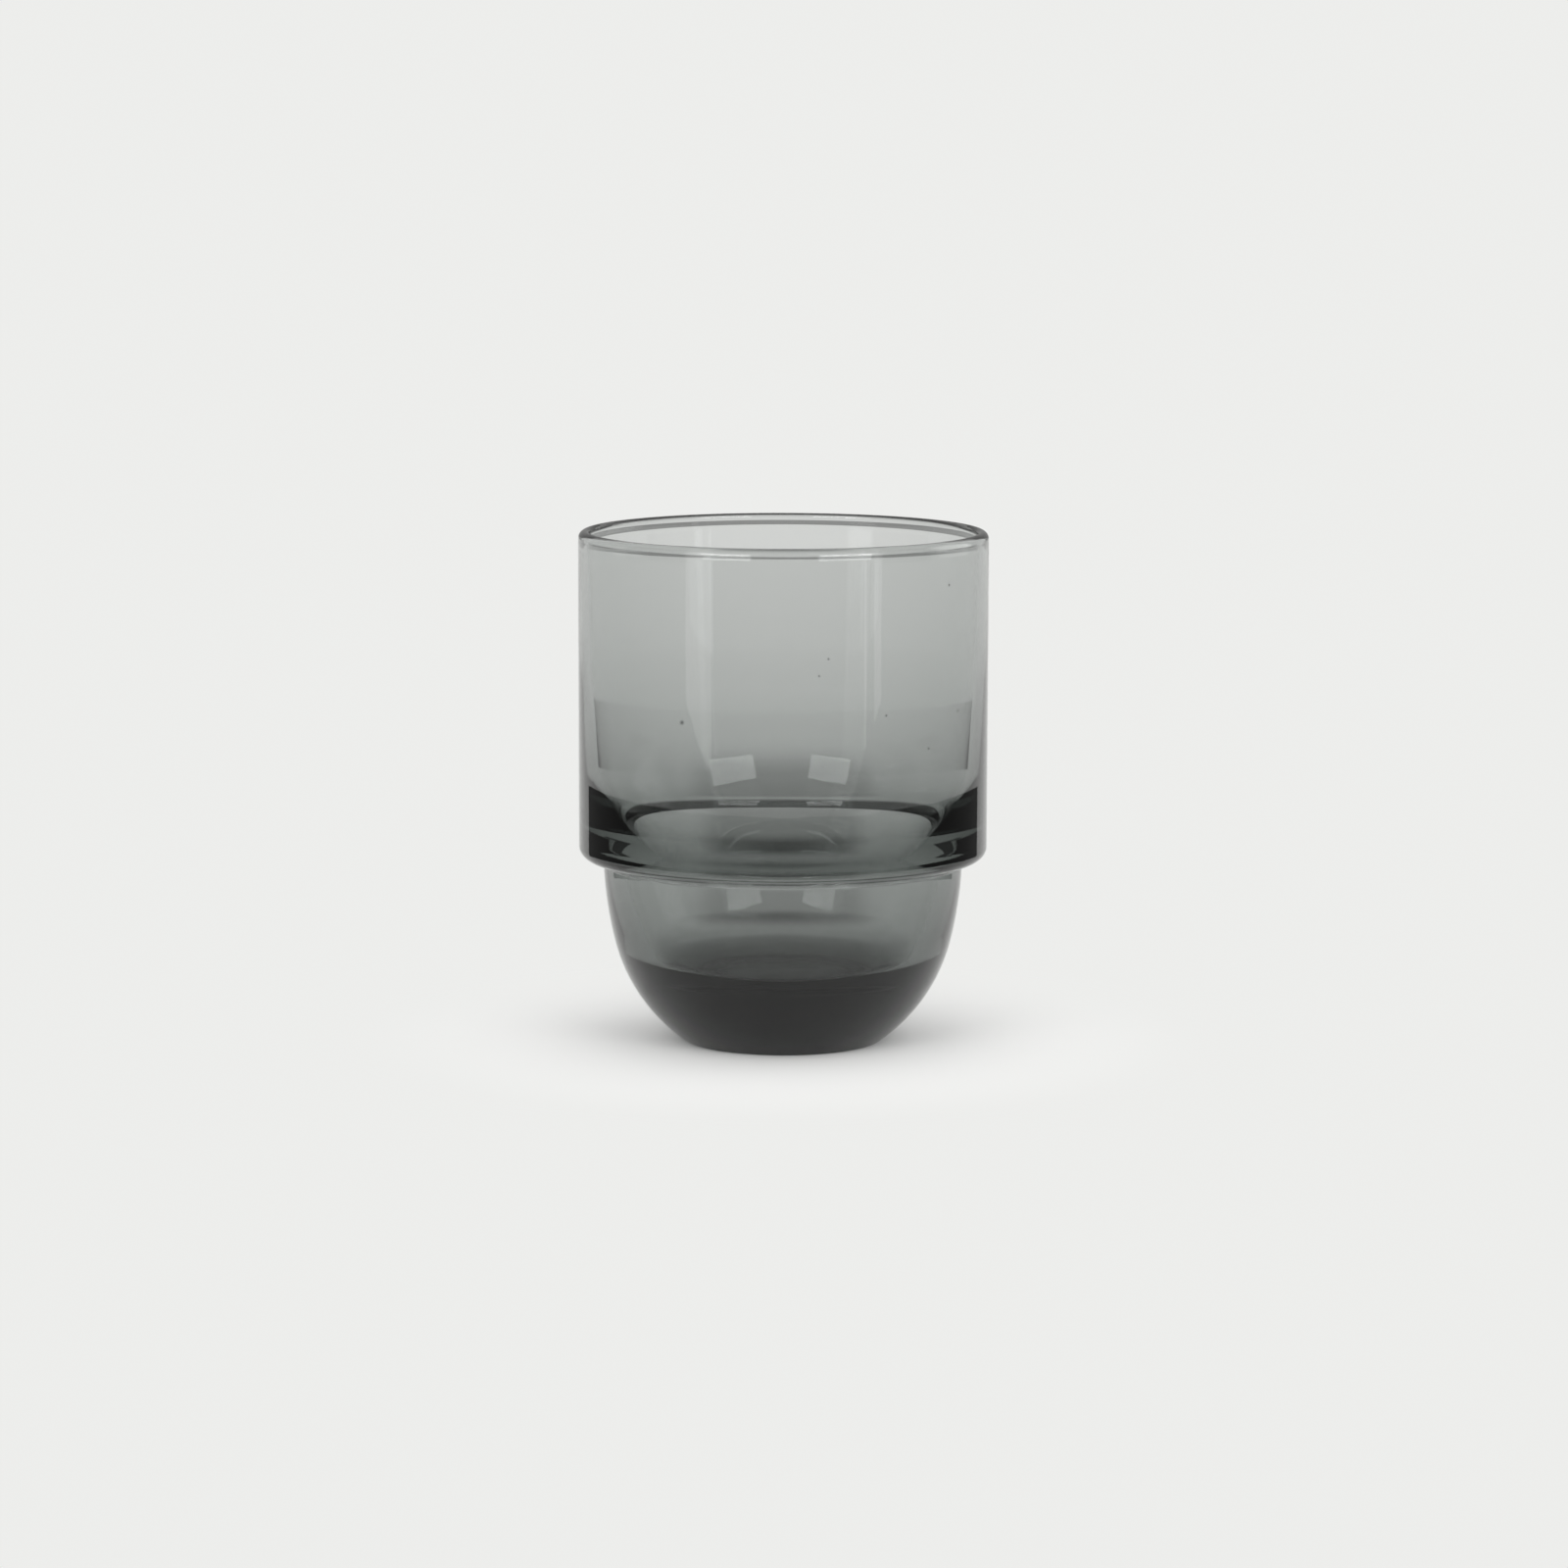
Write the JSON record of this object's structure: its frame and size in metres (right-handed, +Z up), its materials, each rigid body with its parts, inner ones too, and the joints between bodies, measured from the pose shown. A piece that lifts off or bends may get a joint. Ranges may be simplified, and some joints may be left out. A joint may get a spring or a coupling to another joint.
{
  "type": "cortado glass",
  "caption": "Small footed glass for a cortado, without a handle: straight upper wall, stepped shoulder, rounded bowl below and a thick solid base.",
  "frame": {"origin": "centre of the ring that the glass stands on, at table level", "axes": "+Z up along the axis of revolution; the glass is round, so +X and +Y are any two level directions"},
  "size_m": [0.07, 0.07, 0.0877],
  "materials": {
    "glass": "gloss"
  },
  "bodies": {
    "root": {"glass_body": "glass"}
  },
  "joints": []
}
